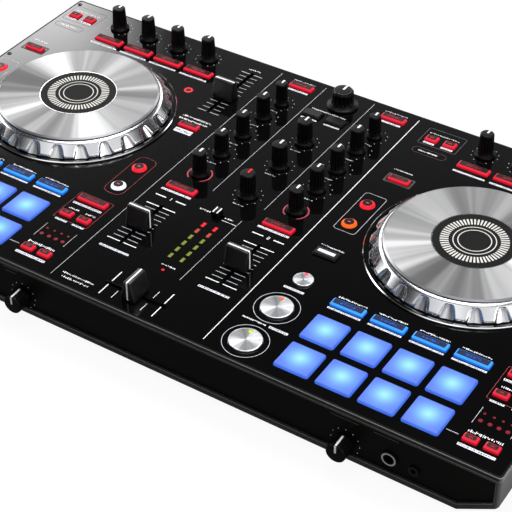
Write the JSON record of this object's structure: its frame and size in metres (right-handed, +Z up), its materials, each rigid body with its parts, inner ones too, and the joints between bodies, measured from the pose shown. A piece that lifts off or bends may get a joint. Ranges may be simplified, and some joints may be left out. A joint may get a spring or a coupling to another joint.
{
  "type": "dj controller",
  "caption": "Low table-top controller for mixing music: two silver jog wheels, lit pads and keys, knobs and sliders round a central mixer, on a black case.",
  "frame": {"origin": "on the surface under the middle of the outer box, which includes the two front knobs", "axes": "+X to the user's right along the front edge, +Y from the front to the back, +Z up"},
  "size_m": [0.553, 0.3224, 0.066],
  "materials": {
    "satin_case": "fine satin black moulded plastic",
    "gloss_panel": "polished black panel with printed scales",
    "front_black": "satin black recessed plate",
    "rubber": "matt black rubber",
    "knob_black": "satin black with a white index bar",
    "chromed_rim": "chrome plated plastic rim",
    "spun_aluminium": "spun and turned in fine rings",
    "steel": "nickel plated steel",
    "pad_silicone": "translucent silicone lit blue from below",
    "key_plastic": "translucent keys lit red, blue or white",
    "board": "green circuit board with black controls"
  },
  "bodies": {
    "case": {"body_frame": "satin_case", "top_panel": "gloss_panel", "base_plate": "satin_case", "front_panel": "front_black", "rear_connector_plate": "steel", "main_board": "board", "microphone_jack": "steel", "headphone_jack": "steel", "foot_front_left": "rubber", "foot_front_right": "rubber", "foot_rear_left": "rubber", "foot_rear_right": "rubber", "left_jog_spindle": "steel", "right_jog_spindle": "steel"},
    "left_jog": {"left_jog_wheel": "chromed_rim", "left_jog_plate": "spun_aluminium"},
    "right_jog": {"right_jog_wheel": "chromed_rim", "right_jog_plate": "spun_aluminium"},
    "left_pad_mat": {"left_pad_mat": "pad_silicone"},
    "left_key_frame": {"left_key_frame": "key_plastic"},
    "left_play_button": {"left_play_button": "spun_aluminium"},
    "left_cue_button": {"left_cue_button": "spun_aluminium"},
    "left_sync_button": {"left_sync_button": "spun_aluminium"},
    "right_pad_mat": {"right_pad_mat": "pad_silicone"},
    "right_key_frame": {"right_key_frame": "key_plastic"},
    "right_play_button": {"right_play_button": "spun_aluminium"},
    "right_cue_button": {"right_cue_button": "spun_aluminium"},
    "right_sync_button": {"right_sync_button": "spun_aluminium"},
    "channel_1_trim_knob": {"channel_1_trim_knob": "knob_black"},
    "channel_1_high_knob": {"channel_1_high_knob": "knob_black"},
    "channel_1_mid_knob": {"channel_1_mid_knob": "knob_black"},
    "channel_1_low_knob": {"channel_1_low_knob": "knob_black"},
    "channel_1_filter_knob": {"channel_1_filter_knob": "knob_black"},
    "channel_2_trim_knob": {"channel_2_trim_knob": "knob_black"},
    "channel_2_high_knob": {"channel_2_high_knob": "knob_black"},
    "channel_2_mid_knob": {"channel_2_mid_knob": "knob_black"},
    "channel_2_low_knob": {"channel_2_low_knob": "knob_black"},
    "channel_2_filter_knob": {"channel_2_filter_knob": "knob_black"},
    "main_level_knob": {"main_level_knob": "knob_black"},
    "monitor_mix_knob": {"monitor_mix_knob": "knob_black"},
    "sample_level_knob": {"sample_level_knob": "knob_black"},
    "browse_knob": {"browse_knob": "knob_black"},
    "left_effect_knob_1": {"left_effect_knob_1": "knob_black"},
    "left_effect_knob_2": {"left_effect_knob_2": "knob_black"},
    "left_effect_knob_3": {"left_effect_knob_3": "knob_black"},
    "left_effect_knob_4": {"left_effect_knob_4": "knob_black"},
    "right_effect_knob_1": {"right_effect_knob_1": "knob_black"},
    "right_effect_knob_2": {"right_effect_knob_2": "knob_black"},
    "right_effect_knob_3": {"right_effect_knob_3": "knob_black"},
    "right_effect_knob_4": {"right_effect_knob_4": "knob_black"},
    "headphone_level_knob": {"headphone_level_knob": "knob_black"},
    "microphone_level_knob": {"microphone_level_knob": "knob_black"},
    "channel_1_fader": {"channel_1_fader": "knob_black"},
    "channel_2_fader": {"channel_2_fader": "knob_black"},
    "crossfader": {"crossfader": "knob_black"},
    "left_tempo_slider": {"left_tempo_slider": "knob_black"},
    "right_tempo_slider": {"right_tempo_slider": "knob_black"},
    "centre_slide_switch": {"centre_slide_switch": "knob_black"},
    "load_key_frame": {"load_key_frame": "key_plastic"},
    "cue_key_frame": {"cue_key_frame": "key_plastic"}
  },
  "joints": [
    {"name": "left_jog_spin", "type": "hinge", "parent": "case", "child": "left_jog", "pos_m": [-0.1741, 0.02775, 0.0455], "axis": [0, 0, 1], "continuous": true},
    {"name": "right_jog_spin", "type": "hinge", "parent": "case", "child": "right_jog", "pos_m": [0.1689, 0.02775, 0.0455], "axis": [0, 0, 1], "continuous": true},
    {"name": "left_pad_mat_press", "type": "slide", "parent": "case", "child": "left_pad_mat", "axis": [0, 0, -1], "range_m": [0, 0.001], "stiffness_N_per_m": 900, "springref_m": -0.0015},
    {"name": "left_key_frame_press", "type": "slide", "parent": "case", "child": "left_key_frame", "axis": [0, 0, -1], "range_m": [0, 0.0008], "stiffness_N_per_m": 900, "springref_m": -0.0015},
    {"name": "left_play_button_press", "type": "slide", "parent": "case", "child": "left_play_button", "axis": [0, 0, -1], "range_m": [0, 0.0008], "stiffness_N_per_m": 500, "springref_m": -0.0015},
    {"name": "left_cue_button_press", "type": "slide", "parent": "case", "child": "left_cue_button", "axis": [0, 0, -1], "range_m": [0, 0.0008], "stiffness_N_per_m": 500, "springref_m": -0.0015},
    {"name": "left_sync_button_press", "type": "slide", "parent": "case", "child": "left_sync_button", "axis": [0, 0, -1], "range_m": [0, 0.0008], "stiffness_N_per_m": 500, "springref_m": -0.0015},
    {"name": "right_pad_mat_press", "type": "slide", "parent": "case", "child": "right_pad_mat", "axis": [0, 0, -1], "range_m": [0, 0.001], "stiffness_N_per_m": 900, "springref_m": -0.0015},
    {"name": "right_key_frame_press", "type": "slide", "parent": "case", "child": "right_key_frame", "axis": [0, 0, -1], "range_m": [0, 0.0008], "stiffness_N_per_m": 900, "springref_m": -0.0015},
    {"name": "right_play_button_press", "type": "slide", "parent": "case", "child": "right_play_button", "axis": [0, 0, -1], "range_m": [0, 0.0008], "stiffness_N_per_m": 500, "springref_m": -0.0015},
    {"name": "right_cue_button_press", "type": "slide", "parent": "case", "child": "right_cue_button", "axis": [0, 0, -1], "range_m": [0, 0.0008], "stiffness_N_per_m": 500, "springref_m": -0.0015},
    {"name": "right_sync_button_press", "type": "slide", "parent": "case", "child": "right_sync_button", "axis": [0, 0, -1], "range_m": [0, 0.0008], "stiffness_N_per_m": 500, "springref_m": -0.0015},
    {"name": "channel_1_trim_knob_turn", "type": "hinge", "parent": "case", "child": "channel_1_trim_knob", "pos_m": [-0.0434, 0.11775, 0.0455], "axis": [0, 0, -1], "range_deg": [-150, 150]},
    {"name": "channel_1_high_knob_turn", "type": "hinge", "parent": "case", "child": "channel_1_high_knob", "pos_m": [-0.0456, 0.09435, 0.0455], "axis": [0, 0, -1], "range_deg": [-150, 150]},
    {"name": "channel_1_mid_knob_turn", "type": "hinge", "parent": "case", "child": "channel_1_mid_knob", "pos_m": [-0.0456, 0.06505, 0.0455], "axis": [0, 0, -1], "range_deg": [-150, 150]},
    {"name": "channel_1_low_knob_turn", "type": "hinge", "parent": "case", "child": "channel_1_low_knob", "pos_m": [-0.0456, 0.03575, 0.0455], "axis": [0, 0, -1], "range_deg": [-150, 150]},
    {"name": "channel_1_filter_knob_turn", "type": "hinge", "parent": "case", "child": "channel_1_filter_knob", "pos_m": [-0.0447, 0.00555, 0.0455], "axis": [0, 0, -1], "range_deg": [-150, 150]},
    {"name": "channel_2_trim_knob_turn", "type": "hinge", "parent": "case", "child": "channel_2_trim_knob", "pos_m": [0.0402, 0.11775, 0.0455], "axis": [0, 0, -1], "range_deg": [-150, 150]},
    {"name": "channel_2_high_knob_turn", "type": "hinge", "parent": "case", "child": "channel_2_high_knob", "pos_m": [0.038, 0.09435, 0.0455], "axis": [0, 0, -1], "range_deg": [-150, 150]},
    {"name": "channel_2_mid_knob_turn", "type": "hinge", "parent": "case", "child": "channel_2_mid_knob", "pos_m": [0.038, 0.06505, 0.0455], "axis": [0, 0, -1], "range_deg": [-150, 150]},
    {"name": "channel_2_low_knob_turn", "type": "hinge", "parent": "case", "child": "channel_2_low_knob", "pos_m": [0.038, 0.03575, 0.0455], "axis": [0, 0, -1], "range_deg": [-150, 150]},
    {"name": "channel_2_filter_knob_turn", "type": "hinge", "parent": "case", "child": "channel_2_filter_knob", "pos_m": [0.0389, 0.00555, 0.0455], "axis": [0, 0, -1], "range_deg": [-150, 150]},
    {"name": "main_level_knob_turn", "type": "hinge", "parent": "case", "child": "main_level_knob", "pos_m": [-0.0005, 0.08205, 0.0455], "axis": [0, 0, -1], "range_deg": [-150, 150]},
    {"name": "monitor_mix_knob_turn", "type": "hinge", "parent": "case", "child": "monitor_mix_knob", "pos_m": [-0.0005, 0.04605, 0.0455], "axis": [0, 0, -1], "range_deg": [-150, 150]},
    {"name": "sample_level_knob_turn", "type": "hinge", "parent": "case", "child": "sample_level_knob", "pos_m": [-0.0005, 0.00275, 0.0455], "axis": [0, 0, -1], "range_deg": [-150, 150]},
    {"name": "browse_knob_turn", "type": "hinge", "parent": "case", "child": "browse_knob", "pos_m": [-0.0015, 0.14125, 0.0455], "axis": [0, 0, 1], "continuous": true},
    {"name": "left_effect_knob_1_turn", "type": "hinge", "parent": "case", "child": "left_effect_knob_1", "pos_m": [-0.21877, 0.14105, 0.0455], "axis": [0, 0, -1], "range_deg": [-150, 150]},
    {"name": "left_effect_knob_2_turn", "type": "hinge", "parent": "case", "child": "left_effect_knob_2", "pos_m": [-0.18873, 0.14105, 0.0455], "axis": [0, 0, -1], "range_deg": [-150, 150]},
    {"name": "left_effect_knob_3_turn", "type": "hinge", "parent": "case", "child": "left_effect_knob_3", "pos_m": [-0.15868, 0.14105, 0.0455], "axis": [0, 0, -1], "range_deg": [-150, 150]},
    {"name": "left_effect_knob_4_turn", "type": "hinge", "parent": "case", "child": "left_effect_knob_4", "pos_m": [-0.12862, 0.14105, 0.0455], "axis": [0, 0, -1], "range_deg": [-150, 150]},
    {"name": "right_effect_knob_1_turn", "type": "hinge", "parent": "case", "child": "right_effect_knob_1", "pos_m": [0.12262, 0.14105, 0.0455], "axis": [0, 0, -1], "range_deg": [-150, 150]},
    {"name": "right_effect_knob_2_turn", "type": "hinge", "parent": "case", "child": "right_effect_knob_2", "pos_m": [0.15268, 0.14105, 0.0455], "axis": [0, 0, -1], "range_deg": [-150, 150]},
    {"name": "right_effect_knob_3_turn", "type": "hinge", "parent": "case", "child": "right_effect_knob_3", "pos_m": [0.18272, 0.14105, 0.0455], "axis": [0, 0, -1], "range_deg": [-150, 150]},
    {"name": "right_effect_knob_4_turn", "type": "hinge", "parent": "case", "child": "right_effect_knob_4", "pos_m": [0.21277, 0.14105, 0.0455], "axis": [0, 0, -1], "range_deg": [-150, 150]},
    {"name": "headphone_level_knob_turn", "type": "hinge", "parent": "case", "child": "headphone_level_knob", "pos_m": [-0.09, -0.14675, 0.0175], "axis": [0, -1, 0], "range_deg": [-150, 150]},
    {"name": "microphone_level_knob_turn", "type": "hinge", "parent": "case", "child": "microphone_level_knob", "pos_m": [0.17, -0.14675, 0.0165], "axis": [0, -1, 0], "range_deg": [-150, 150]},
    {"name": "channel_1_fader_slide", "type": "slide", "parent": "case", "child": "channel_1_fader", "axis": [0, 1, 0], "range_m": [-0.0223, 0.0251]},
    {"name": "channel_2_fader_slide", "type": "slide", "parent": "case", "child": "channel_2_fader", "axis": [0, 1, 0], "range_m": [-0.0223, 0.0251]},
    {"name": "crossfader_slide", "type": "slide", "parent": "case", "child": "crossfader", "axis": [1, 0, 0], "range_m": [-0.0218, 0.0218]},
    {"name": "left_tempo_slider_slide", "type": "slide", "parent": "case", "child": "left_tempo_slider", "axis": [0, 1, 0], "range_m": [-0.022, 0.038]},
    {"name": "right_tempo_slider_slide", "type": "slide", "parent": "case", "child": "right_tempo_slider", "axis": [0, 1, 0], "range_m": [-0.022, 0.038]},
    {"name": "centre_slide_switch_slide", "type": "slide", "parent": "case", "child": "centre_slide_switch", "axis": [1, 0, 0], "range_m": [-0.0035, 0.0035]},
    {"name": "load_key_frame_press", "type": "slide", "parent": "case", "child": "load_key_frame", "axis": [0, 0, -1], "range_m": [0, 0.0008], "stiffness_N_per_m": 900, "springref_m": -0.0015},
    {"name": "cue_key_frame_press", "type": "slide", "parent": "case", "child": "cue_key_frame", "axis": [0, 0, -1], "range_m": [0, 0.0008], "stiffness_N_per_m": 900, "springref_m": -0.0015}
  ]
}
